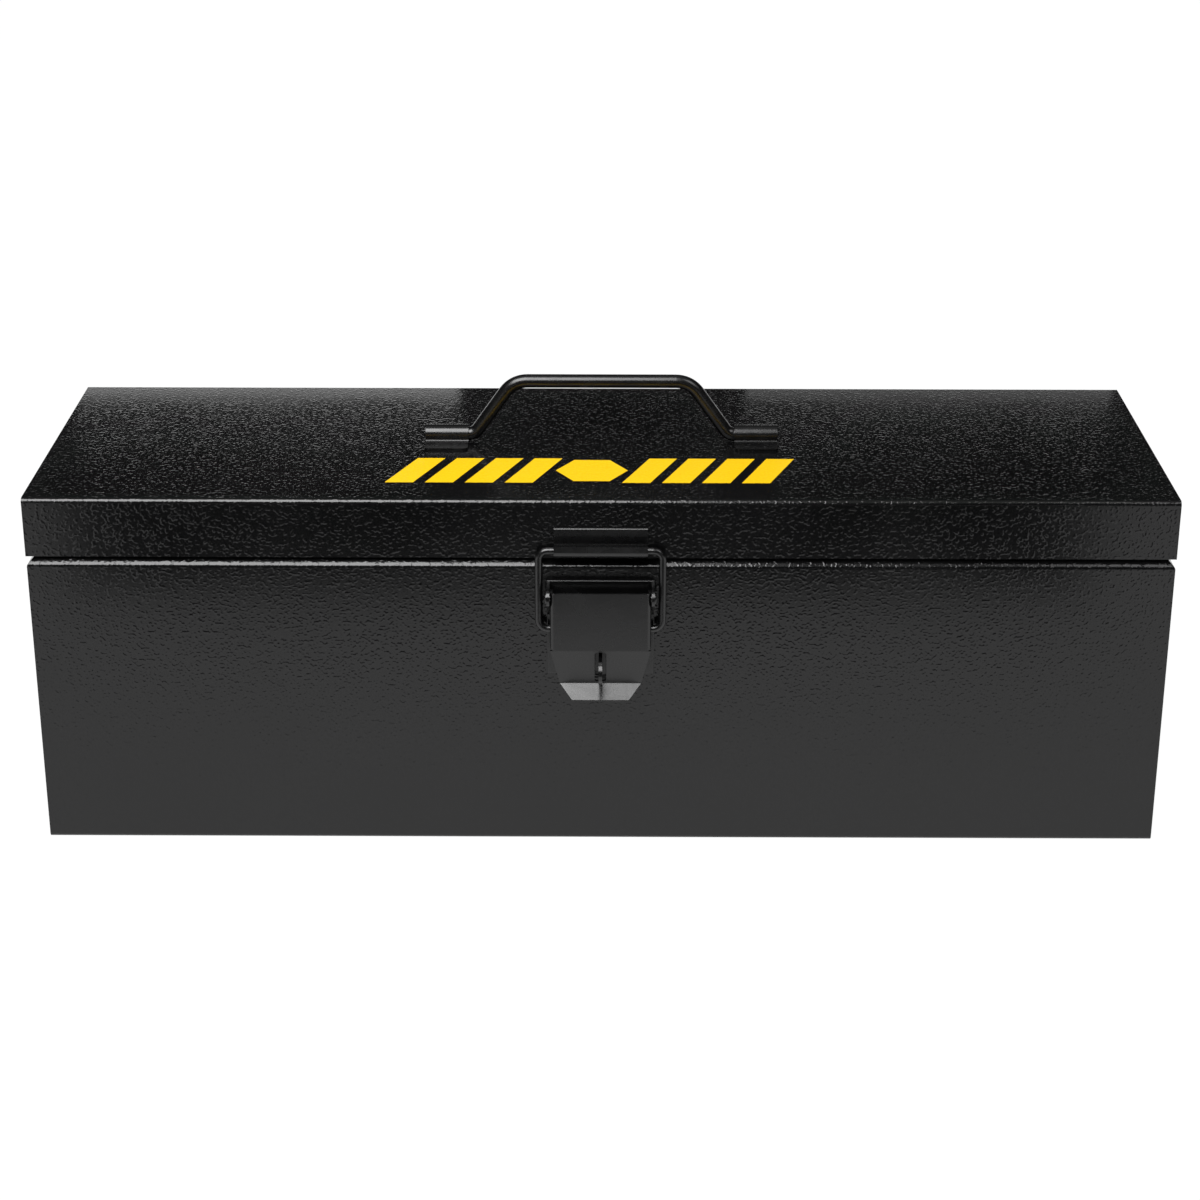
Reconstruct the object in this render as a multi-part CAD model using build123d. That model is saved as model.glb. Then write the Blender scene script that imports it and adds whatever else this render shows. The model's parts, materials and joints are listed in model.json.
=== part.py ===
from build123d import *
import os

# A steel tool box: a bent sheet shell with a hinged flat lid, a draw latch with a padlock
# staple, a folding rod handle on the lid and a lift-out tray.
# Millimetres. +X is the box's length, the latch is on the -Y side, +Z is up.
# The origin is the centre of the underside.

# ---------------------------------------------------------------- shell of the body
body_length = 485.2
body_width = 154.0
body_wall_height = 129.0       # underside to where the wall turns in to the neck
sheet = 0.8
bend = 1.3                     # inside radius of every folded edge
flange = 11.0                  # width of the turned edges of the end panels
corner_relief = 3.0            # flanges stop this far short of a fold
neck_inset = 2.8               # the rim steps in by this much, so that the lid covers it
neck_slope = 3.0               # height over which it steps in
neck_height = 8.5              # upright rim above the slope
neck_rear_margin = 6.0         # the end rims stop this far short of the rear wall

# ---------------------------------------------------------------- lid
lid_overhang = 0.15            # the lid's outside past the body's outside
lid_gap = 4.1                  # from the body's wall up to the lid's edge
lid_height = 25.9
hem_height = 7.0               # folded safety edge inside the skirt
hem_gap = 0.15                 # between a hem and the flange above it

# ---------------------------------------------------------------- piano hinge
hinge_end_margin = 16.0        # from the end of the body to the end of the hinge
hinge_setback = 1.45           # pin axis to the outside of the rear wall
hinge_leaf_depth = 14.0
hinge_sheet = 0.8
hinge_pin_radius = 1.0
hinge_running_gap = 0.05
knuckle_wall = 0.6
knuckle_pitch = 30.0
knuckle_gap = 0.4
leaf_clearance = 0.35          # from a knuckle to the other leaf
pin_head_height = 0.6

# ---------------------------------------------------------------- latch
latch_sheet = 1.2
worn_edge = 0.4                # rounding of the base plate's cut edges on the outside
head_rounding = 0.72           # of the rims of rivet heads and pin heads
keeper_width = 39.5
keeper_drop = 12.2             # lid top to the keeper's upper edge
keeper_hook_drop = 21.2        # lid top to the centre of the hook's groove
keeper_groove_radius = 2.0
keeper_lip = 2.6               # the hook's lip rises this far above the groove's centre
keeper_edge = 0.8              # rounding of its upper edge
keeper_flat = 0.01             # half the flat left at the bottom of the hook

base_drop = 5.8                # top of the body's wall to the top of the base plate
base_height = 43.0
base_ear_sheet = 1.2
base_ear_radius = 3.8
base_ear_height = 16.5
pivot_drop = 11.6              # top of the body's wall to the lever's pivot
pivot_stand_off = 5.6          # base plate to the lever's pivot
pivot_pin_radius = 1.5
pivot_running_gap = 0.08
pivot_head_radius = 2.6
pivot_head_height = 0.9

lever_width = 42.7
lever_side_gap = 0.25          # lever to base ears
lever_wall_gap = 0.3           # lever's ears to the base plate
lever_bend = 0.6
lever_stand_off = 8.3          # base plate to the outside of the lever's upper face
lever_drop = 8.6               # top of the body's wall to the top of the lever
lever_face_height = 26.1
lever_taper_height = 16.3
lever_tab_height = 5.3
lever_waist_stand_off = 4.7    # where the taper ends and the finger tab starts
lever_tip_stand_off = 10.8
lever_waist_width = 34.9
lever_tip_width = 21.8
lever_ear_radius = 4.0
lever_wire_radius = 2.8        # of the ear around the bail's end
slot_width = 5.0
slot_corner = 1.0
slot_margin = 0.8              # slot to the two creases

bail_wire_radius = 1.6
bail_side_gap = 0.9            # bail to the heads of the pivot pin
bail_bend = 4.0                # centre line radius of its corners
bail_seat = 0.1                # between the bar and the bottom of the hook
bail_end_clearance = 0.1       # between the wire and its holes in the lever
bail_pivot_drop = 14.9         # lever's pivot to the bail's pivot

staple_sheet = 1.5
staple_drop = 43.3             # top of the body's wall to the eye
staple_stand_off = 11.1        # base plate to the eye
staple_eye_radius = 3.2
staple_rim = 2.0
staple_foot = 8.0
rivet_radius = 1.6
rivet_gap = 0.05
rivet_head_radius = 2.8
rivet_head_height = 0.9
rivet_spacing = 28.0
rivet_margin = 12.0            # rivets to the top and bottom of the base plate

# ---------------------------------------------------------------- carry handle
rod_radius = 3.0
rod_gap = 0.15                 # rod to the lid's top
grip_height = 24.4             # grip axis above the rod's pivot axis
grip_half_length = 39.0        # to the corner of its centre line
leg_half_length = 56.3
handle_half_length = 77.8
grip_bend = 12.0
foot_bend = 5.0
rod_end_rounding = 0.75
clip_centre = 68.5             # from the middle of the lid
clip_width = 19.0
clip_sheet = 1.0
clip_gap = 0.08                # clip to rod
clip_flange = 10.4
clip_bend = 0.6
clip_crown_flat = 0.08         # half the flat left on top of the clip's arch
clip_corner = 2.0

# ---------------------------------------------------------------- tray and its brackets
tray_sheet = 0.7
tray_drop = 11.0               # top of the body's wall to the tray's edge
tray_height = 40.0
tray_gap = 1.5                 # tray to the rim and to the hinge
bracket_sheet = 1.0
bracket_shelf = 10.0
bracket_leg = 16.0
bracket_margin = 20.0          # bracket to the front and rear walls
tray_hem = 5.0
tray_flange = 9.0
hump_height = 12.0             # the divider's handle above the tray's edge
hump_half_length = 58.0
hump_slope = 24.0
hand_hole_length = 92.0
hand_hole_height = 21.0
hand_hole_margin = 4.5         # hand hole to the top of the hump
divider_foot = 10.0
grip_radius = 3.4
grip_length = 92.0
grip_end_rounding = 1.1
grip_seat = 4.2                # depth of the slot that the divider's edge fills
tray_headroom = 2.0            # left above the raised tray under the closed lid

# ---------------------------------------------------------------- places worked out from the sizes
end_x = body_length / 2
front_y = -body_width / 2
rear_y = body_width / 2
neck_x = end_x - neck_inset
neck_y = front_y + neck_inset
neck_foot_z = body_wall_height + neck_slope
neck_top_z = neck_foot_z + neck_height
neck_rear_y = rear_y - neck_rear_margin

lid_end_x = end_x + lid_overhang
lid_front_y = front_y - lid_overhang
lid_edge_z = body_wall_height + lid_gap
lid_top_z = lid_edge_z + lid_height

hinge_y = rear_y - hinge_setback
hinge_z = body_wall_height + lid_gap / 2
hinge_half = end_x - hinge_end_margin
knuckle_radius = hinge_pin_radius + hinge_running_gap + knuckle_wall
knuckle_count = 2 * round(hinge_half / knuckle_pitch) + 1

keeper_groove_y = lid_front_y - latch_sheet - keeper_groove_radius
keeper_groove_z = lid_top_z - keeper_hook_drop
bail_bar_z = keeper_groove_z - keeper_groove_radius + bail_wire_radius + bail_seat
base_front_y = front_y - latch_sheet
base_half = lever_width / 2 + lever_side_gap + base_ear_sheet
base_top_z = body_wall_height - base_drop
base_bottom_z = base_top_z - base_height
pivot_y = base_front_y - pivot_stand_off
pivot_z = body_wall_height - pivot_drop
bail_pivot_y = base_front_y - lever_wall_gap - lever_wire_radius
bail_pivot_z = pivot_z - bail_pivot_drop
bail_leg_x = base_half + pivot_head_height + bail_side_gap + bail_wire_radius
lever_face_y = base_front_y - lever_stand_off
lever_top_z = body_wall_height - lever_drop
lever_crease_z = lever_top_z - lever_face_height
lever_waist_z = lever_crease_z - lever_taper_height
lever_tip_z = lever_waist_z - lever_tab_height
staple_y = base_front_y - staple_stand_off
staple_z = body_wall_height - staple_drop
rod_z = lid_top_z + rod_gap + rod_radius

tray_front_y = neck_y + sheet + tray_gap
tray_rear_y = hinge_y - knuckle_radius - tray_gap
tray_middle_y = (tray_front_y + tray_rear_y) / 2
tray_end_x = neck_x - sheet - tray_gap
tray_top_z = body_wall_height - tray_drop
tray_base_z = tray_top_z - tray_height
hump_top_z = tray_top_z + hump_height


# ---------------------------------------------------------------- sheet metal helpers
def shifted(points, distance):
    """The points of an open outline moved to its left by distance, mitred at each corner."""
    path = [complex(*point) for point in points]
    lefts = [1j * (b - a) / abs(b - a) for a, b in zip(path, path[1:])]
    befores = [lefts[0]] + lefts
    afters = lefts + [lefts[-1]]
    moved = []
    for point, before, after in zip(path, befores, afters):
        both = before + after
        moved.append(point + both * 2 * distance / abs(both) ** 2)
    return [(point.real, point.imag) for point in moved]


def sheet_section(points, thickness, inside_radii):
    """The cut face of a bent sheet. Its one surface follows points, and the metal is on their left."""
    path = [complex(*point) for point in points]
    outer = []
    inner = []
    for i, radius in enumerate(inside_radii, start=1):
        before = path[i] - path[i - 1]
        after = path[i + 1] - path[i]
        turns_left = (before.conjugate() * after).imag > 0
        outer.append(radius + thickness if turns_left else radius)
        inner.append(radius if turns_left else radius + thickness)
    surface = FilletPolyline(*points, radius=outer)
    back = FilletPolyline(*shifted(points, thickness), radius=inner)
    ends = [Line(surface @ 1, back @ 1), Line(back @ 0, surface @ 0)]
    return make_face(surface.edges() + back.edges() + ends)


def block(x, y, z):
    """A box between two X, two Y and two Z values."""
    size = [abs(high - low) for low, high in (x, y, z)]
    centre = [(low + high) / 2 for low, high in (x, y, z)]
    return Pos(*centre) * Box(*size)


def along_x(face, low, high):
    """A face drawn in (Y, Z) made solid between two X values."""
    return extrude(Plane.YZ.offset(low) * face, amount=high - low)


def along_y(face, low, high):
    """A face drawn in (X, Z) made solid between two Y values."""
    return extrude(Plane.XZ.offset(-high) * face, amount=high - low)


def along_z(face, low, high):
    """A face drawn in (X, Y) made solid between two Z values."""
    return extrude(Plane.XY.offset(low) * face, amount=high - low)


def polygon(*points):
    return make_face(Polyline(*points, close=True).edges())


def rod(radius, start, end):
    """A round bar from one point to another."""
    axis = Vector(*end) - Vector(*start)
    return extrude(Plane(origin=start, z_dir=axis) * Circle(radius), amount=axis.length)


def mirrored(part):
    """The left-hand copy of a right-hand piece."""
    return mirror(part, about=Plane.YZ)


# ---------------------------------------------------------------- body
def neck_outline(wall, rim):
    """The step from the wall in to the rim, as (across, Z) points from the rim's top down."""
    return [(rim, neck_top_z), (rim, neck_foot_z), (wall, body_wall_height)]


def corner_mitre(inside):
    """Where the stepped rims of the front and of an end meet, the half that the other one keeps."""
    reach = 4 * flange
    out = 1.0
    tip = (end_x + out, front_y - out)
    if inside:
        far = (end_x - reach, front_y - out)
    else:
        far = (end_x + out, front_y + reach)
    diagonal = (end_x - reach, front_y + reach)
    low = body_wall_height - neck_inset
    return along_z(polygon(tip, far, diagonal), low, neck_top_z + out)


def body_wrap():
    """Front wall with its stepped rim, bottom and rear wall, folded from one sheet."""
    outline = neck_outline(front_y, neck_y)
    outline += [(front_y, 0), (rear_y, 0), (rear_y, body_wall_height)]
    section = sheet_section(outline, sheet, [bend] * 4)
    wrap = along_x(section, -end_x, end_x)
    mitre = corner_mitre(inside=False)
    wrap -= mitre
    wrap -= mirrored(mitre)
    return wrap - rivet_holes()


def right_end_panel():
    """End wall with a stepped rim. Its turned edges lie inside the wrap."""
    inner_front = front_y + sheet
    inner_rear = rear_y - sheet
    rim_low = body_wall_height - neck_inset
    plan = [(end_x - flange, inner_front), (end_x, inner_front)]
    plan += [(end_x, inner_rear), (end_x - flange, inner_rear)]
    walls = along_z(sheet_section(plan, sheet, [bend] * 2), sheet + corner_relief, rim_low)

    foot = [(end_x - flange, sheet), (end_x, sheet), (end_x, rim_low)]
    foot_section = sheet_section(foot, sheet, [bend])
    walls += along_y(foot_section, inner_front + corner_relief, inner_rear - corner_relief)

    corner = bend + sheet
    plate = block((end_x - sheet, end_x), (inner_front, inner_rear), (sheet, rim_low))
    plate = fillet(plate.edges().filter_by(Axis.X).group_by(Axis.Z)[0], corner)
    walls += plate & block((0, 2 * end_x), (front_y, rear_y), (sheet, sheet + 2 * corner_relief))

    rim = neck_outline(end_x, neck_x)[::-1]
    rim_section = sheet_section([(end_x, rim_low)] + rim, sheet, [bend] * 2)
    stepped = along_y(rim_section, front_y, neck_rear_y) - corner_mitre(inside=True)
    straight = block((end_x - sheet, end_x), (neck_rear_y, inner_rear), (rim_low, body_wall_height))
    return walls + stepped + straight


def right_tray_bracket():
    """Angle spot-welded inside an end wall. The tray's end rests on its shelf."""
    wall_x = end_x - sheet
    outline = [(wall_x, tray_base_z - bracket_leg), (wall_x, tray_base_z)]
    outline += [(wall_x - bracket_shelf, tray_base_z)]
    section = sheet_section(outline, bracket_sheet, [bend])
    return along_y(section, front_y + bracket_margin, rear_y - bracket_margin)


# ---------------------------------------------------------------- lid
def lid_wrap():
    """Front skirt with a hemmed edge, top and rear skirt, folded from one sheet."""
    outline = [(rear_y, lid_edge_z), (rear_y, lid_top_z)]
    outline += [(lid_front_y, lid_top_z), (lid_front_y, lid_edge_z)]
    wrap = along_x(sheet_section(outline, sheet, [bend] * 2), -lid_end_x, lid_end_x)
    hem_end = lid_end_x - 2 * sheet - hem_gap
    hem_back = lid_front_y + 2 * sheet
    hem = block((-hem_end, hem_end), (lid_front_y + sheet, hem_back), (lid_edge_z, lid_edge_z + hem_height))
    return wrap + hem


def lid_right_end():
    """End skirt with a hemmed lower edge. Its turned edges lie inside the lid's wrap."""
    inner_front = lid_front_y + sheet
    inner_rear = rear_y - sheet
    inner_top = lid_top_z - sheet
    flange_low = lid_edge_z + hem_height + hem_gap
    plan = [(lid_end_x - flange, inner_front), (lid_end_x, inner_front)]
    plan += [(lid_end_x, inner_rear), (lid_end_x - flange, inner_rear)]
    end = along_z(sheet_section(plan, sheet, [bend] * 2), flange_low, inner_top - corner_relief)

    top = [(lid_end_x, lid_edge_z), (lid_end_x, inner_top), (lid_end_x - flange, inner_top)]
    top_section = sheet_section(top, sheet, [bend])
    end += along_y(top_section, inner_front + corner_relief, inner_rear - corner_relief)

    plate = block((lid_end_x - sheet, lid_end_x), (inner_front, inner_rear), (lid_edge_z, inner_top))
    end += fillet(plate.edges().filter_by(Axis.X).group_by(Axis.Z)[-1], bend + sheet)
    end += block(
        (lid_end_x - 2 * sheet, lid_end_x - sheet),
        (inner_front, hinge_y - knuckle_radius - hem_gap),
        (lid_edge_z, lid_edge_z + hem_height),
    )
    return end


# ---------------------------------------------------------------- piano hinge
def hinge_leaf(side, first):
    """One leaf and every second knuckle. side is +1 for the lid's leaf and -1 for the body's."""
    outer_y = rear_y - sheet
    inner_y = outer_y - hinge_sheet
    pitch = 2 * hinge_half / knuckle_count
    root_z = hinge_z + side * (knuckle_radius + leaf_clearance)
    tip_z = hinge_z + side * hinge_leaf_depth
    leaf = block((-hinge_half, hinge_half), (inner_y, outer_y), sorted((root_z, tip_z)))
    for i in range(first, knuckle_count, 2):
        low = -hinge_half + i * pitch + knuckle_gap / 2
        high = low + pitch - knuckle_gap
        leaf += rod(knuckle_radius, (low, hinge_y, hinge_z), (high, hinge_y, hinge_z))
        leaf += block((low, high), (inner_y, outer_y), sorted((hinge_z, root_z)))
    bore = hinge_pin_radius + hinge_running_gap
    return leaf - rod(bore, (-end_x, hinge_y, hinge_z), (end_x, hinge_y, hinge_z))


def hinge_pin():
    half = hinge_half
    pin = rod(hinge_pin_radius, (-half, hinge_y, hinge_z), (half, hinge_y, hinge_z))
    for side in (-1, 1):
        start = (side * half, hinge_y, hinge_z)
        end = (side * (half + pin_head_height), hinge_y, hinge_z)
        pin += rod(knuckle_radius, start, end)
    return pin


# ---------------------------------------------------------------- latch
def rivet_places():
    half = rivet_spacing / 2
    heights = (base_bottom_z + rivet_margin, base_top_z - rivet_margin)
    return [(x, z) for x in (-half, half) for z in heights]


def rivet_holes():
    """Holes for the latch rivets, through the base plate and the front wall."""
    reach = 2 * (latch_sheet + sheet)
    holes = [
        rod(rivet_radius + rivet_gap, (x, front_y - reach, z), (x, front_y + reach, z))
        for x, z in rivet_places()
    ]
    return Part() + holes


def latch_rivets():
    """Four rivets. Each joins the base plate to the front wall, with a head on both sides."""
    outside = base_front_y
    inside = front_y + sheet
    rivets = []
    for x, z in rivet_places():
        rivet = rod(rivet_radius, (x, outside, z), (x, inside, z))
        rivet += rod(rivet_head_radius, (x, outside - rivet_head_height, z), (x, outside, z))
        rivet += rod(rivet_head_radius, (x, inside, z), (x, inside + rivet_head_height, z))
        rims = rivet.edges().filter_by(GeomType.CIRCLE).sort_by(Axis.Y)
        rivets.append(fillet([rims[0], rims[-1]], head_rounding))
    return Compound(children=rivets)


def latch_base_plate():
    """Plate riveted to the front wall, with two ears that carry the lever's pivot pin."""
    plate = block((-base_half, base_half), (base_front_y, front_y), (base_bottom_z, base_top_z))
    plate = fillet(plate.faces().sort_by(Axis.Y)[0].edges(), worn_edge)
    eye = Pos(pivot_y, pivot_z) * Circle(base_ear_radius)
    root = Line((front_y, base_top_z - base_ear_height), (front_y, base_top_z))
    ear_face = make_face(make_hull(eye.edges() + root.edges()).edges())
    ear = along_x(ear_face, base_half - base_ear_sheet, base_half)
    plate += ear + mirrored(ear)
    plate -= rod(pivot_pin_radius, (-base_half, pivot_y, pivot_z), (base_half, pivot_y, pivot_z))
    return plate - rivet_holes()


def latch_pivot_pin():
    """Headed pin through the base plate's ears and the lever."""
    pin = rod(pivot_pin_radius, (-base_half, pivot_y, pivot_z), (base_half, pivot_y, pivot_z))
    for side in (-1, 1):
        head_end = side * (base_half + pivot_head_height)
        pin += rod(pivot_head_radius, (side * base_half, pivot_y, pivot_z), (head_end, pivot_y, pivot_z))
    rims = pin.edges().filter_by(GeomType.CIRCLE).sort_by(Axis.X)
    return fillet([rims[0], rims[-1]], head_rounding)


def padlock_staple():
    """Upright blade with an eye, on a foot welded to the base plate. It passes through the lever."""
    tip = staple_eye_radius + staple_rim
    blade = Pos((staple_y + base_front_y) / 2, staple_z) * Rectangle(staple_stand_off, 2 * tip)
    blade += Pos(staple_y, staple_z) * Circle(tip)
    blade -= Pos(staple_y, staple_z) * Circle(staple_eye_radius)
    staple = along_x(blade, -staple_sheet / 2, staple_sheet / 2)
    foot = block(
        (-staple_sheet / 2, staple_foot),
        (base_front_y - staple_sheet, base_front_y),
        (staple_z - tip, staple_z + tip),
    )
    return staple + foot


def latch_lever():
    """Bent lever: an upper face with two ears, a tapered lower face with a slot, and a finger tab."""
    half = lever_width / 2
    profile = [(lever_face_y, lever_top_z), (lever_face_y, lever_crease_z)]
    profile += [(base_front_y - lever_waist_stand_off, lever_waist_z)]
    profile += [(base_front_y - lever_tip_stand_off, lever_tip_z)]
    section = sheet_section(profile, latch_sheet, [2 * lever_bend, lever_bend])
    fold = half - latch_sheet - lever_bend
    right = [(fold, lever_top_z), (fold, lever_crease_z), (half, lever_crease_z)]
    right += [(lever_waist_width / 2, lever_waist_z), (lever_tip_width / 2, lever_tip_z - latch_sheet)]
    outline = polygon(*right, *[(-x, z) for x, z in reversed(right)])
    strip = along_x(section, -half, half) & along_y(outline, 2 * front_y, 0)

    pivot = Pos(pivot_y, pivot_z) * Circle(lever_ear_radius)
    wire_eye = Pos(bail_pivot_y, bail_pivot_z) * Circle(lever_wire_radius)
    root = Line((lever_face_y, lever_crease_z), (lever_face_y, lever_top_z - latch_sheet))
    ear_face = make_face(make_hull(pivot.edges() + wire_eye.edges() + root.edges()).edges())
    plan = [(-half, 0), (-half, lever_face_y), (half, lever_face_y), (half, 0)]
    channel = along_z(sheet_section(plan, latch_sheet, [lever_bend] * 2), lever_crease_z, lever_top_z)
    channel &= along_x(ear_face, -half, half)
    lever = strip + channel

    bore = pivot_pin_radius + pivot_running_gap
    wire_bore = bail_wire_radius + bail_end_clearance
    lever -= rod(bore, (-half, pivot_y, pivot_z), (half, pivot_y, pivot_z))
    lever -= rod(wire_bore, (-half, bail_pivot_y, bail_pivot_z), (half, bail_pivot_y, bail_pivot_z))
    slot_middle = (lever_crease_z + lever_waist_z) / 2
    slot_height = lever_taper_height - 2 * slot_margin
    slot = Pos(0, slot_middle) * RectangleRounded(slot_width, slot_height, slot_corner)
    return lever - along_y(slot, 2 * front_y, 0)


def latch_bail():
    """Wire loop. Its ends turn in to the lever's ears and its bar lies in the keeper's hook."""
    tip_x = lever_width / 2 - latch_sheet - bail_wire_radius / 2
    pivot = Vector(0, bail_pivot_y, bail_pivot_z)
    rise = Vector(0, keeper_groove_y, bail_bar_z) - pivot
    plane = Plane(origin=pivot, x_dir=(1, 0, 0), z_dir=Vector(1, 0, 0).cross(rise))
    points = [(tip_x, 0), (bail_leg_x, 0), (bail_leg_x, rise.length)]
    points += [(-x, y) for x, y in reversed(points)]
    path = plane * FilletPolyline(*points, radius=bail_bend)
    end = Plane(origin=path @ 0, z_dir=path % 0)
    return sweep(end * Circle(bail_wire_radius), path=path)


def latch_keeper():
    """Plate on the lid's front with its lower edge curled up to a hook for the bail."""
    bottom_z = keeper_groove_z - keeper_groove_radius - latch_sheet
    lip_y = lid_front_y - 2 * (latch_sheet + keeper_groove_radius)
    outline = [(lip_y, keeper_groove_z + keeper_lip), (lip_y, bottom_z), (lid_front_y, bottom_z)]
    outline += [(lid_front_y, lid_top_z - keeper_drop)]
    section = sheet_section(outline, latch_sheet, [keeper_groove_radius - keeper_flat] * 2)
    keeper = along_x(section, -keeper_width / 2, keeper_width / 2)
    top = keeper.edges().filter_by(Axis.X).group_by(Axis.Z)[-1].sort_by(Axis.Y)[0]
    return fillet([top], keeper_edge)


# ---------------------------------------------------------------- carry handle
def carry_handle():
    """Bent round bar with its two ends in the clips, standing up."""
    points = [(handle_half_length, 0), (leg_half_length, 0), (grip_half_length, grip_height)]
    points += [(-x, z) for x, z in reversed(points)]
    plane = Plane(origin=(0, 0, rod_z), x_dir=(1, 0, 0), z_dir=(0, -1, 0))
    path = plane * FilletPolyline(*points, radius=[foot_bend, grip_bend, grip_bend, foot_bend])
    end = Plane(origin=path @ 0, z_dir=path % 0)
    handle = sweep(end * Circle(rod_radius), path=path)
    rims = handle.edges().filter_by(GeomType.CIRCLE).sort_by(Axis.X)
    return fillet([rims[0], rims[-1]], rod_end_rounding)


def right_handle_clip():
    """Strap over the handle's end, with a flange in front and one behind, welded to the lid."""
    half = rod_radius + clip_gap + clip_sheet
    crown_z = rod_z + half
    foot_z = lid_top_z + clip_sheet
    reach = half + clip_flange
    outline = [(reach, foot_z), (half, foot_z), (half, crown_z)]
    outline += [(-y, z) for y, z in reversed(outline)]
    arch = half - clip_sheet - clip_crown_flat
    section = sheet_section(outline, clip_sheet, [clip_bend, arch, arch, clip_bend])
    clip = along_x(section, clip_centre - clip_width / 2, clip_centre + clip_width / 2)
    uprights = clip.edges().filter_by(Axis.Z).group_by(Axis.Y)
    return fillet(uprights[0] + uprights[-1], clip_corner)


# ---------------------------------------------------------------- tray
def tray_trough():
    """Front, bottom and rear of the tray, folded from one sheet, with hemmed edges."""
    outline = [(tray_front_y, tray_top_z), (tray_front_y, tray_base_z)]
    outline += [(tray_rear_y, tray_base_z), (tray_rear_y, tray_top_z)]
    trough = along_x(sheet_section(outline, tray_sheet, [bend] * 2), -tray_end_x, tray_end_x)
    hem_end = tray_end_x - 2 * tray_sheet - hem_gap
    for low in (tray_front_y + tray_sheet, tray_rear_y - 2 * tray_sheet):
        trough += block((-hem_end, hem_end), (low, low + tray_sheet), (tray_top_z - tray_hem, tray_top_z))
    return trough


def tray_right_end():
    """End of the tray. Its turned edges lie inside the trough."""
    inner_front = tray_front_y + tray_sheet
    inner_rear = tray_rear_y - tray_sheet
    inner_base = tray_base_z + tray_sheet
    flange_top = tray_top_z - tray_hem - hem_gap
    plan = [(tray_end_x - tray_flange, inner_front), (tray_end_x, inner_front)]
    plan += [(tray_end_x, inner_rear), (tray_end_x - tray_flange, inner_rear)]
    end = along_z(sheet_section(plan, tray_sheet, [bend] * 2), inner_base + corner_relief, flange_top)

    foot = [(tray_end_x - tray_flange, inner_base), (tray_end_x, inner_base), (tray_end_x, tray_top_z)]
    foot_section = sheet_section(foot, tray_sheet, [bend])
    end += along_y(foot_section, inner_front + corner_relief, inner_rear - corner_relief)

    plate = block((tray_end_x - tray_sheet, tray_end_x), (inner_front, inner_rear), (inner_base, tray_top_z))
    end += fillet(plate.edges().filter_by(Axis.X).group_by(Axis.Z)[0], bend + tray_sheet)
    end += block(
        (tray_end_x - 2 * tray_sheet, tray_end_x - tray_sheet),
        (inner_front, inner_rear),
        (tray_top_z - tray_hem, tray_top_z),
    )
    return end


def tray_divider():
    """Upright sheet along the tray. Its middle rises to a handle with a hand hole."""
    half = tray_end_x - 2 * tray_sheet - hem_gap
    floor = tray_base_z + tray_sheet
    low_z = tray_top_z - tray_hem
    foot_half = half - tray_flange
    over_flange = floor + tray_sheet + hem_gap
    right = [(foot_half, floor), (foot_half, over_flange), (half, over_flange), (half, low_z)]
    right += [(hump_half_length + hump_slope, low_z)]
    right += [(hump_half_length, hump_top_z)]
    outline = polygon(*right, *[(-x, z) for x, z in reversed(right)])
    outline = fillet(outline.vertices().sort_by(Axis.Y)[-2:], hand_hole_margin)
    hole_z = hump_top_z - hand_hole_margin - grip_seat - hand_hole_height / 2
    outline -= Pos(0, hole_z) * SlotOverall(hand_hole_length, hand_hole_height)
    web = along_y(outline, tray_middle_y - tray_sheet / 2, tray_middle_y + tray_sheet / 2)
    foot_y = tray_middle_y + tray_sheet / 2
    foot = block((-foot_half, foot_half), (foot_y, foot_y + divider_foot), (floor, floor + tray_sheet))
    return web + foot


def tray_grip():
    """Round moulded grip, slotted to sit on the divider's upper edge."""
    z = hump_top_z - grip_seat + grip_radius
    half = grip_length / 2
    grip = rod(grip_radius, (-half, tray_middle_y, z), (half, tray_middle_y, z))
    rims = grip.edges().filter_by(GeomType.CIRCLE)
    grip = fillet(rims, grip_end_rounding)
    web = (tray_middle_y - tray_sheet / 2, tray_middle_y + tray_sheet / 2)
    return grip - block((-end_x, end_x), web, (z - 2 * grip_radius, hump_top_z))


# ---------------------------------------------------------------- all sub-parts
right_panel = right_end_panel()
right_bracket = right_tray_bracket()
right_lid_end = lid_right_end()
right_clip = right_handle_clip()
right_tray_end = tray_right_end()

parts = {
    "body_wrap": body_wrap(),
    "right_end_panel": right_panel,
    "left_end_panel": mirrored(right_panel),
    "right_tray_bracket": right_bracket,
    "left_tray_bracket": mirrored(right_bracket),
    "body_hinge_leaf": hinge_leaf(side=-1, first=0),
    "hinge_pin": hinge_pin(),
    "latch_base_plate": latch_base_plate(),
    "latch_rivets": latch_rivets(),
    "latch_pivot_pin": latch_pivot_pin(),
    "padlock_staple": padlock_staple(),
    "lid_wrap": lid_wrap(),
    "lid_right_end": right_lid_end,
    "lid_left_end": mirrored(right_lid_end),
    "lid_hinge_leaf": hinge_leaf(side=1, first=1),
    "latch_keeper": latch_keeper(),
    "right_handle_clip": right_clip,
    "left_handle_clip": mirrored(right_clip),
    "latch_lever": latch_lever(),
    "latch_bail": latch_bail(),
    "carry_handle": carry_handle(),
    "tray_trough": tray_trough(),
    "tray_right_end": right_tray_end,
    "tray_left_end": mirrored(right_tray_end),
    "tray_divider": tray_divider(),
    "tray_grip": tray_grip(),
}

os.makedirs("parts", exist_ok=True)
for name, part in parts.items():
    export_step(part, f"parts/{name}.step")

# Where the joints, the padlock's eye and the tray's travel are, for whoever writes the record.
print("lid hinge", hinge_y, hinge_z)
print("handle pivot", 0, rod_z)
print("lever pivot", pivot_y, pivot_z)
print("bail pivot", bail_pivot_y, bail_pivot_z)
print("padlock eye", staple_y, staple_z)
print("tray lift", lid_top_z - sheet - tray_headroom - (hump_top_z - grip_seat + 2 * grip_radius))
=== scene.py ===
"""Looks of a black steel tool box: paint, printed mark, weld marks, floor, lights and camera."""

import json
import math

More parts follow.
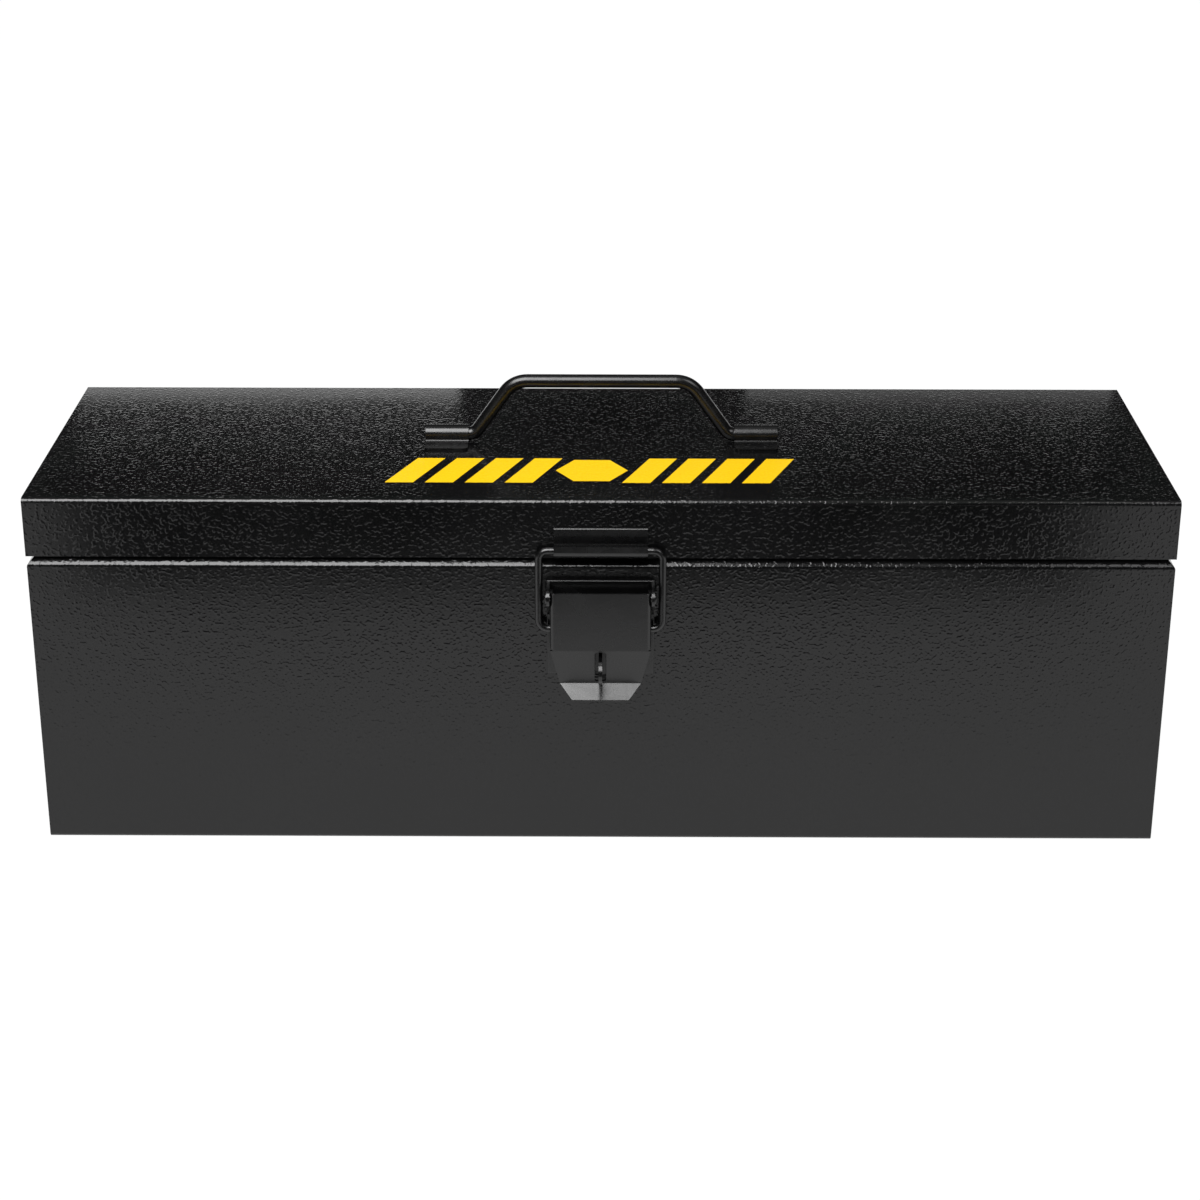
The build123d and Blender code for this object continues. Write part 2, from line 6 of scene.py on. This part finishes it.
import bmesh
import bpy
from mathutils import Euler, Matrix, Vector


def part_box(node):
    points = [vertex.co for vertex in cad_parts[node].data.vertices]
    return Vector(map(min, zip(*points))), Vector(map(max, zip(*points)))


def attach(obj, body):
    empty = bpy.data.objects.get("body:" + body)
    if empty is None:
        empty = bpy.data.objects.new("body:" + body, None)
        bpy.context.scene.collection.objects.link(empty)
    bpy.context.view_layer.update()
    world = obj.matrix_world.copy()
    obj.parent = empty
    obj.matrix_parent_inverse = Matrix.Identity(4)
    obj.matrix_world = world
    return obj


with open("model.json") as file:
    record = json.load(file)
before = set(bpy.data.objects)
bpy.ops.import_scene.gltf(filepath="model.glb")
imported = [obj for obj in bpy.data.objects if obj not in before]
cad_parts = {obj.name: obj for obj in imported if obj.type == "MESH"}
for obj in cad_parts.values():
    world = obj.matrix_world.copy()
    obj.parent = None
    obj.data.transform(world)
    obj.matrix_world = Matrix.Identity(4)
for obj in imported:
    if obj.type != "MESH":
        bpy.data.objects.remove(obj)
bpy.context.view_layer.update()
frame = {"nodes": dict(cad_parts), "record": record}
nodes = frame["nodes"]

MM = 0.001


# ---------------------------------------------------------------- shader helpers
class Shader:
    """A new node material, with short calls to add nodes and join them."""

    def __init__(self, name):
        self.material = bpy.data.materials.new(name)
        self.material.use_nodes = True
        self.tree = self.material.node_tree
        self.surface = self.tree.nodes["Principled BSDF"]
        self.place = self.add("ShaderNodeTexCoord").outputs["Object"]

    def add(self, kind, settings=None, **inputs):
        node = self.tree.nodes.new(kind)
        for key, value in (settings or {}).items():
            setattr(node, key, value)
        for key, value in inputs.items():
            self.feed(node.inputs[key.replace("_", " ")], value)
        return node

    def feed(self, socket, value):
        if isinstance(value, bpy.types.NodeSocket):
            self.tree.links.new(value, socket)
        else:
            socket.default_value = value

    def noise(self, scale, detail=2.0, roughness=0.5, distortion=0.0):
        """Noise over the object. scale is in cells a metre."""
        node = self.add("ShaderNodeTexNoise", Vector=self.place, Scale=scale, Detail=detail)
        self.feed(node.inputs["Roughness"], roughness)
        self.feed(node.inputs["Distortion"], distortion)
        return node.outputs["Fac"]

    def cells(self, scale, smoothness=0.6):
        """Rounded cells over the object, such as the grain under a thin print."""
        node = self.add("ShaderNodeTexVoronoi", {"feature": "SMOOTH_F1"}, Vector=self.place)
        self.feed(node.inputs["Scale"], scale)
        self.feed(node.inputs["Smoothness"], smoothness)
        return node.outputs["Distance"]

    def ramp(self, value, low, high, to_low=0.0, to_high=1.0):
        """value spread from low..high to to_low..to_high, and held at the ends."""
        node = self.add("ShaderNodeMapRange", Value=value)
        for key, number in (("From Min", low), ("From Max", high), ("To Min", to_low), ("To Max", to_high)):
            node.inputs[key].default_value = number
        return node.outputs["Result"]

    def math(self, operation, a, b):
        node = self.add("ShaderNodeMath", {"operation": operation})
        self.feed(node.inputs[0], a)
        self.feed(node.inputs[1], b)
        return node.outputs[0]

    def mix_color(self, factor, a, b):
        """From colour a to colour b as factor goes from 0 to 1."""
        node = self.add("ShaderNodeMix", {"data_type": "RGBA"})
        self.feed(node.inputs[0], factor)
        self.feed(node.inputs[6], (*a, 1.0))
        self.feed(node.inputs[7], (*b, 1.0))
        return node.outputs[2]

    def bump(self, height, strength, depth):
        node = self.add("ShaderNodeBump", Height=height, Strength=strength, Distance=depth)
        self.feed(self.surface.inputs["Normal"], node.outputs["Normal"])

    def set(self, **inputs):
        for key, value in inputs.items():
            if isinstance(value, tuple) and len(value) == 3:
                value = (*value, 1.0)
            self.feed(self.surface.inputs[key.replace("_", " ")], value)


# ---------------------------------------------------------------- materials
PAINT_IOR = 1.46
DEEP_BLACK = (0.0012, 0.0012, 0.0013)
DUSTY_BLACK = (0.0075, 0.0075, 0.0078)
ENAMEL_BLACK = (0.0015, 0.0015, 0.0016)
RUBBED_BLACK = (0.004, 0.004, 0.0042)
FULL_YELLOW = (0.84, 0.52, 0.003)
THIN_YELLOW = (0.74, 0.45, 0.004)


def wrinkle_coat(name, island, depth, gloss):
    """Black powder coat with small raised grains, island apart and depth high, in metres."""
    shader = Shader(name)
    grain = shader.noise(1.0 / island, detail=0.0)
    fine = shader.noise(3.0 / island, detail=2.0)
    patches = shader.noise(14.0, detail=2.0)
    raised = shader.ramp(grain, 0.53, 0.75)
    height = shader.math("ADD", raised, shader.math("MULTIPLY", fine, 0.15))
    dust = shader.math("MULTIPLY", shader.ramp(fine, 0.45, 0.75), shader.ramp(patches, 0.35, 0.7, 0.4, 1.0))
    shader.set(
        Base_Color=shader.mix_color(dust, DEEP_BLACK, DUSTY_BLACK),
        Roughness=shader.ramp(patches, 0.3, 0.7, gloss - 0.02, gloss + 0.03),
        IOR=PAINT_IOR,
    )
    shader.bump(height, strength=1.0, depth=depth)
    return shader.material


def smooth_coat(name, gloss):
    """Black baked enamel on the fittings, with a faint orange peel."""
    shader = Shader(name)
    peel = shader.noise(420.0, detail=2.0)
    rub = shader.noise(60.0, detail=4.0, roughness=0.65, distortion=0.6)
    shader.set(
        Base_Color=shader.mix_color(shader.ramp(rub, 0.45, 0.8), ENAMEL_BLACK, RUBBED_BLACK),
        Roughness=shader.ramp(rub, 0.3, 0.75, gloss - 0.04, gloss + 0.06),
        IOR=1.52,
    )
    shader.bump(peel, strength=0.25, depth=0.06 * MM)
    return shader.material


def plated_steel(name):
    """Bright zinc with fine turning marks."""
    shader = Shader(name)
    streaks = shader.add("ShaderNodeMapping", Vector=shader.place)
    streaks.inputs["Scale"].default_value = (3000.0, 300.0, 300.0)
    lines = shader.add("ShaderNodeTexNoise", Vector=streaks.outputs["Vector"], Scale=1.0, Detail=2.0)
    mottle = shader.noise(180.0, detail=3.0)
    shader.set(
        Base_Color=shader.mix_color(mottle, (0.42, 0.42, 0.43), (0.62, 0.62, 0.61)),
        Metallic=1.0,
        Roughness=shader.ramp(lines.outputs["Fac"], 0.3, 0.7, 0.22, 0.42),
    )
    shader.bump(lines.outputs["Fac"], strength=0.2, depth=0.02 * MM)
    return shader.material


def moulded_vinyl(name):
    """Soft black grip with a matte moulded skin."""
    shader = Shader(name)
    skin = shader.noise(1500.0, detail=3.0)
    shader.set(
        Base_Color=shader.mix_color(skin, (0.006, 0.006, 0.006), (0.012, 0.012, 0.012)),
        Roughness=shader.ramp(skin, 0.3, 0.7, 0.5, 0.68),
        IOR=PAINT_IOR,
    )
    shader.bump(skin, strength=0.5, depth=0.1 * MM)
    return shader.material


def printed_ink(name, island):
    """Yellow screen print. It follows the grain below it, and its colour varies a little."""
    shader = Shader(name)
    grain = shader.cells(1.0 / island)
    thin = shader.noise(900.0, detail=3.0, roughness=0.7)
    shader.set(
        Base_Color=shader.mix_color(shader.ramp(thin, 0.35, 0.8), FULL_YELLOW, THIN_YELLOW),
        Roughness=shader.ramp(grain, 0.2, 0.8, 0.38, 0.55),
        IOR=1.45,
    )
    shader.bump(grain, strength=0.4, depth=0.1 * MM)
    return shader.material


GRAIN = 1.3 * MM
TRAY_GRAIN = 0.9 * MM
GRAIN_HEIGHT = 0.06 * MM
shell_coat = wrinkle_coat("wrinkle_coat", island=GRAIN, depth=GRAIN_HEIGHT, gloss=0.17)
tray_coat = wrinkle_coat("tray_coat", island=TRAY_GRAIN, depth=GRAIN_HEIGHT, gloss=0.30)
inner_coat = smooth_coat("inner_coat", gloss=0.42)
fitting_coat = smooth_coat("fitting_coat", gloss=0.26)
pin_steel = plated_steel("zinc_plate")
grip_vinyl = moulded_vinyl("grip_vinyl")
mark_ink = printed_ink("mark_ink", island=GRAIN)

SLOT_MATERIALS = {
    "shell_coat": shell_coat,
    "fitting_coat": fitting_coat,
    "inner_steel_paint": inner_coat,
    "pin_steel": pin_steel,
    "tray_coat": tray_coat,
    "grip_vinyl": grip_vinyl,
}
for part in frame["record"]["subparts"]:
    node = nodes[part["node"]]
    for slot in node.material_slots:
        slot.material = SLOT_MATERIALS[part["material_slot"]]


# ---------------------------------------------------------------- mesh helpers
def add_piece(mesh, material, body):
    """A new piece that shows a mesh, is named like it and rides on a body."""
    mesh.materials.append(material)
    piece = bpy.data.objects.new(mesh.name, mesh)
    bpy.context.scene.collection.objects.link(piece)
    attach(piece, body)


def flat_plates(outlines, low, high):
    """Corners and faces of thin upright-sided plates, one for each (x, y) outline."""
    vertices = []
    faces = []
    for outline in outlines:
        start = len(vertices)
        count = len(outline)
        vertices += [(x, y, low) for x, y in outline] + [(x, y, high) for x, y in outline]
        faces.append([start + i for i in reversed(range(count))])
        faces.append([start + count + i for i in range(count)])
        for i in range(count):
            j = (i + 1) % count
            faces.append([start + i, start + j, start + count + j, start + count + i])
    return vertices, faces


# ---------------------------------------------------------------- printed mark on the lid
def hexagon(centre, radius):
    angles = [i * math.pi / 3 for i in range(6)]
    return [(centre[0] + radius * math.cos(a), centre[1] + radius * math.sin(a)) for a in angles]


def lid_mark():
    """A plain hexagon between two rows of slanted bars, printed on the lid near its front edge."""
    lid_low, lid_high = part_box("lid_wrap")
    ink_low = lid_high.z + 0.01 * MM
    ink_high = ink_low + 0.06 * MM
    middle_x = -4 * MM
    middle_y = lid_low.y + 37 * MM
    half_depth = 15.5 * MM
    half_bar = 6 * MM
    lean = 6 * MM
    first = 25 * MM
    pitch = 17 * MM
    bars_a_side = 4
    low_y = middle_y - half_depth
    high_y = middle_y + half_depth
    outlines = [hexagon((middle_x, middle_y), half_depth)]
    for side in (-1, 1):
        for i in range(bars_a_side):
            x = middle_x + side * (first + i * pitch)
            outlines.append([
                (x - half_bar - lean, low_y), (x + half_bar - lean, low_y),
                (x + half_bar + lean, high_y), (x - half_bar + lean, high_y),
            ])
    mesh = bpy.data.meshes.new("lid_mark")
    vertices, faces = flat_plates(outlines, ink_low, ink_high)
    mesh.from_pydata(vertices, [], faces)
    add_piece(mesh, mark_ink, "lid")


lid_mark()


# ---------------------------------------------------------------- weld marks
CLIP_SHEET = 1.0 * MM
HINGE_WELDS = 9
HINGE_WELD_MARGIN = 12 * MM
HINGE_WELD_INSET = 5 * MM
BRACKET_WELDS = 3
BRACKET_WELD_MARGIN = 14 * MM


def weld_marks(name, spots, body, material):
    """Shallow rings that spot welding leaves under the paint. spots are (centre, outward normal)."""
    # Radius and rise of each ring, from the rim inwards, in mm.
    profile = [(1.75, 0.0), (1.55, 0.07), (1.30, 0.09), (1.10, 0.05), (0.60, 0.02)]
    middle_rise = 0.015
    sides = 28
    mesh = bmesh.new()
    for centre, normal in spots:
        turn = Vector((0, 0, 1)).rotation_difference(Vector(normal))
        rings = []
        for radius, rise in profile:
            ring = []
            for i in range(sides):
                angle = 2 * math.pi * i / sides
                spot = Vector((radius * math.cos(angle), radius * math.sin(angle), rise)) * MM
                ring.append(mesh.verts.new(Vector(centre) + turn @ spot))
            rings.append(ring)
        top = mesh.verts.new(Vector(centre) + turn @ Vector((0, 0, middle_rise * MM)))
        for lower, upper in zip(rings, rings[1:]):
            for i in range(sides):
                j = (i + 1) % sides
                mesh.faces.new((lower[i], lower[j], upper[j], upper[i]))
        for i in range(sides):
            mesh.faces.new((rings[-1][i], rings[-1][(i + 1) % sides], top))
        mesh.faces.new(list(reversed(rings[0])))
    for face in mesh.faces:
        face.smooth = len(face.verts) < sides
    data = bpy.data.meshes.new(name)
    mesh.to_mesh(data)
    mesh.free()
    add_piece(data, material, body)


def spread(low, high, count):
    """count places from low to high, evenly apart."""
    return [low + (high - low) * i / (count - 1) for i in range(count)]


def clip_spots():
    """Two welds on each of the four flanges of the handle's clips."""
    spots = []
    for node in ("right_handle_clip", "left_handle_clip"):
        low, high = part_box(node)
        flange_top = low.z + CLIP_SHEET
        for x in (low.x + 5.5 * MM, high.x - 5.5 * MM):
            for y in (low.y + 5.0 * MM, high.y - 5.0 * MM):
                spots.append(((x, y, flange_top), (0, 0, 1)))
    return spots


def hinge_spots(node, wall_node, height):
    """A row of welds along the rear wall, through to a hinge leaf."""
    low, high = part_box(node)
    wall_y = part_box(wall_node)[1].y
    places = spread(low.x + HINGE_WELD_MARGIN, high.x - HINGE_WELD_MARGIN, HINGE_WELDS)
    return [((x, wall_y, height), (0, 1, 0)) for x in places]


def bracket_spots():
    """A row of welds on the outside of each end panel, through to a tray bracket."""
    ends = (
        ("right_tray_bracket", "right_end_panel", 1),
        ("left_tray_bracket", "left_end_panel", -1),
    )
    spots = []
    for node, panel, side in ends:
        low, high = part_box(node)
        panel_low, panel_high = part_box(panel)
        x = panel_high.x if side > 0 else panel_low.x
        for y in spread(low.y + BRACKET_WELD_MARGIN, high.y - BRACKET_WELD_MARGIN, BRACKET_WELDS):
            spots.append(((x, y, (low.z + high.z) / 2), (side, 0, 0)))
    return spots


weld_marks("clip_weld_marks", clip_spots(), "lid", fitting_coat)
lid_weld_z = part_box("lid_hinge_leaf")[1].z - HINGE_WELD_INSET
lid_spots = hinge_spots("lid_hinge_leaf", "lid_wrap", lid_weld_z)
weld_marks("lid_weld_marks", lid_spots, "lid", shell_coat)
body_weld_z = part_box("body_hinge_leaf")[0].z + HINGE_WELD_INSET
body_spots = hinge_spots("body_hinge_leaf", "body_wrap", body_weld_z) + bracket_spots()
weld_marks("body_weld_marks", body_spots, "body", shell_coat)


# ---------------------------------------------------------------- floor, lights and camera
def glow(name, radiance, color):
    """A plain surface that gives off an even light of its own."""
    shader = Shader(name)
    shader.set(Base_Color=(color,) * 3, Roughness=1.0, Specular_IOR_Level=0.0)
    shader.set(Emission_Color=(1.0, 1.0, 1.0), Emission_Strength=radiance)
    return shader.material


def floor():
    """Pale lit floor, far wider than the picture."""
    just_below = -0.2 * MM
    bpy.ops.mesh.primitive_plane_add(size=40.0, location=(0, 0, just_below))
    plane = bpy.context.object
    plane.name = "floor"
    plane.data.materials.append(glow("floor_paper", 1.0, 0.03))


def backdrop():
    """Pale sweep round the floor. Only the picture shows it: the paint doesn't reflect it."""
    bpy.ops.mesh.primitive_uv_sphere_add(segments=48, ring_count=24, radius=19.0)
    dome = bpy.context.object
    dome.name = "backdrop"
    dome.data.materials.append(glow("backdrop_paper", 1.0, 0.1))
    dome.visible_diffuse = False
    dome.visible_glossy = False
    dome.visible_transmission = False
    dome.visible_shadow = False


def dark_card(name, corners):
    """A dark card beside the box, seen only in the paint's reflections."""
    mesh = bpy.data.meshes.new(name)
    mesh.from_pydata(corners, [], [range(len(corners))])
    mesh.materials.append(glow(name, 0.0, 0.01))
    card = bpy.data.objects.new(name, mesh)
    bpy.context.scene.collection.objects.link(card)
    card.visible_camera = False


def soft_box(name, place, target, size, radiance):
    """A rectangular light that faces target and isn't itself in the picture."""
    light = bpy.data.lights.new(name, "AREA")
    light.shape = "RECTANGLE"
    light.size, light.size_y = size
    watts_per_area = 4.0 * radiance
    light.energy = watts_per_area * size[0] * size[1]
    lamp = bpy.data.objects.new(name, light)
    lamp.location = place
    lamp.rotation_euler = (Vector(target) - Vector(place)).to_track_quat("-Z", "Y").to_euler()
    lamp.visible_camera = False
    bpy.context.scene.collection.objects.link(lamp)


def surroundings():
    """A dim room with a pale ceiling and a band of light low down behind the box."""
    room_light, ceiling_light = 0.02, 0.3
    world = bpy.data.worlds.new("studio")
    bpy.context.scene.world = world
    world.use_nodes = True
    tree = world.node_tree
    place = tree.nodes.new("ShaderNodeTexCoord")
    split = tree.nodes.new("ShaderNodeSeparateXYZ")
    tree.links.new(place.outputs["Generated"], split.inputs[0])
    low = tree.nodes.new("ShaderNodeMapRange")
    behind = tree.nodes.new("ShaderNodeMapRange")
    ceiling = tree.nodes.new("ShaderNodeMapRange")
    ceiling.inputs["To Min"].default_value = room_light
    ceiling.inputs["To Max"].default_value = ceiling_light
    both = tree.nodes.new("ShaderNodeMath")
    both.operation = "MULTIPLY_ADD"
    ranges = ((low, "Z", (0.14, 0.02)), (behind, "Y", (-0.3, 0.4)), (ceiling, "Z", (0.6, 1.0)))
    for node, axis, low_high in ranges:
        tree.links.new(split.outputs[axis], node.inputs["Value"])
        node.inputs["From Min"].default_value, node.inputs["From Max"].default_value = low_high
    tree.links.new(low.outputs[0], both.inputs[0])
    tree.links.new(behind.outputs[0], both.inputs[1])
    tree.links.new(ceiling.outputs[0], both.inputs[2])
    tree.links.new(both.outputs[0], tree.nodes["Background"].inputs["Strength"])
    tree.nodes["Background"].inputs["Color"].default_value = (1.0, 1.0, 1.0, 1.0)


def camera():
    """The photograph's viewpoint: a long lens from the front, looking down."""
    data = bpy.data.cameras.new("camera")
    data.lens = 78.19
    data.sensor_width = 36.0
    view = bpy.data.objects.new("camera", data)
    view.location = (0.0037, -1.0996, 0.5364)
    pitch, yaw, roll = (math.radians(a) for a in (22.45, 0.255, -0.08))
    view.rotation_euler = Euler((math.pi / 2 - pitch, roll, yaw), "XYZ")
    bpy.context.scene.collection.objects.link(view)
    bpy.context.scene.camera = view


def rear_strip(name, x, width, radiance):
    """A low light close behind the lid, which brightens the rear of its top."""
    lid_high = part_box("lid_wrap")[1]
    y = lid_high.y + 45 * MM
    z = lid_high.z + 10 * MM
    soft_box(name, (x, y, z), (x, 0.0, z), (width, 20 * MM), radiance)


def studio():
    """Every light and card round the box."""
    card_z = 1 * MM
    near_y, far_y = -0.36, -3.0
    corners = [(-0.29, near_y, card_z), (0.26, near_y, card_z), (0.9, far_y, card_z), (-1.0, far_y, card_z)]
    dark_card("front_card", corners)
    soft_box("overhead", (-0.375, -0.70, 1.05), (-0.375, -0.35, 0.1), size=(0.85, 0.95), radiance=8.0)
    soft_box("side_fill", (0.72, -0.55, 1.0), (0.40, -0.2, 0.1), size=(0.5, 0.7), radiance=2.5)
    rear_strip("rear_left", x=-0.165, width=0.19, radiance=0.65)
    rear_strip("rear_right", x=0.16, width=0.18, radiance=0.28)


floor()
backdrop()
studio()
surroundings()
camera()
bpy.context.scene.view_settings.view_transform = "Standard"
